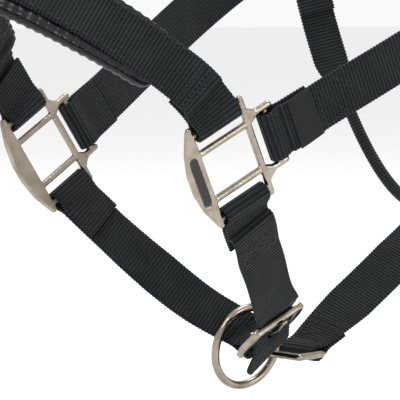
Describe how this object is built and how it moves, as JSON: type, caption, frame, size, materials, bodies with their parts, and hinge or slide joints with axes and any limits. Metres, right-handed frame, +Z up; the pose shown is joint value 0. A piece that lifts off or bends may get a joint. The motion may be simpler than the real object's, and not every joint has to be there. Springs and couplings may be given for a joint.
{
  "type": "headcollar",
  "caption": "Padded headcollar for a horse, with noseband, cheek squares, crown, throat lash with snap, chin buckle and lead ring.",
  "frame": {"origin": "middle of the crown pad's underside, where it sits on the poll", "axes": "+Z up, -Y towards the nose, +X towards the horse's near (left) side"},
  "size_m": [0.212, 0.4102, 0.3847],
  "materials": {
    "webbing": "ribbed woven nylon webbing, satin",
    "leather": "smooth padded leather, semi-gloss",
    "foam": "soft open-cell padding",
    "nickel": "polished nickel-plated cast and drawn metal",
    "label": "plain black satin ribbon"
  },
  "bodies": {
    "headcollar": {"noseband_webbing": "webbing", "noseband_pad_cover": "leather", "noseband_foam": "foam", "cheek_square_near": "nickel", "cheek_square_far": "nickel", "cheek_strap_near": "webbing", "cheek_strap_far": "webbing", "upper_ring_near": "nickel", "upper_ring_far": "nickel", "size_label": "label", "chin_strap": "webbing", "chin_billet": "webbing", "chin_buckle_frame": "nickel", "jaw_loop": "nickel", "jaw_strap": "webbing", "throat_lash": "webbing", "snap_swivel_eye": "nickel", "crown_chape": "webbing", "crown_buckle_frame": "nickel", "crown_strap": "webbing", "crown_pad_cover": "leather", "crown_foam": "foam"},
    "lead_ring": {"lead_ring": "nickel"},
    "chin_tongue": {"chin_buckle_tongue": "nickel"},
    "crown_tongue": {"crown_buckle_tongue": "nickel"},
    "keeper": {"crown_keeper": "webbing"},
    "hook": {"snap_hook": "nickel", "snap_gate_pin": "nickel"},
    "gate": {"snap_gate": "nickel"}
  },
  "joints": [
    {"name": "lead_ring_swing", "type": "hinge", "parent": "headcollar", "child": "lead_ring", "pos_m": [-0.00871, -0.20537, -0.33382], "axis": [-0.0026, -0.9171, -0.3988], "range_deg": [-1, 30]},
    {"name": "chin_tongue_lift", "type": "hinge", "parent": "headcollar", "child": "chin_tongue", "pos_m": [0.002, -0.2, -0.3477], "axis": [0, 0.9166, 0.3998], "range_deg": [0, 4]},
    {"name": "crown_tongue_lift", "type": "hinge", "parent": "headcollar", "child": "crown_tongue", "pos_m": [0.07624, -0.05549, -0.07805], "axis": [-0.1507, 0.8309, -0.5357], "range_deg": [0, 4]},
    {"name": "crown_keeper_slide", "type": "slide", "parent": "headcollar", "child": "keeper", "axis": [-0.1826, 0.4967, 0.8485], "range_m": [-0.008, 0.004]},
    {"name": "snap_swivel", "type": "hinge", "parent": "headcollar", "child": "hook", "pos_m": [0.08789, -0.08797, -0.16607], "axis": [-0.0878, 0.2096, -0.9738], "range_deg": [-35, 35]},
    {"name": "snap_gate_hinge", "type": "hinge", "parent": "hook", "child": "gate", "pos_m": [0.09569, -0.08122, -0.18134], "axis": [-0.3443, 0.911, 0.2271], "range_deg": [-32, 0], "stiffness_Nm_per_rad": 0.004, "springref_deg": 8.59}
  ]
}
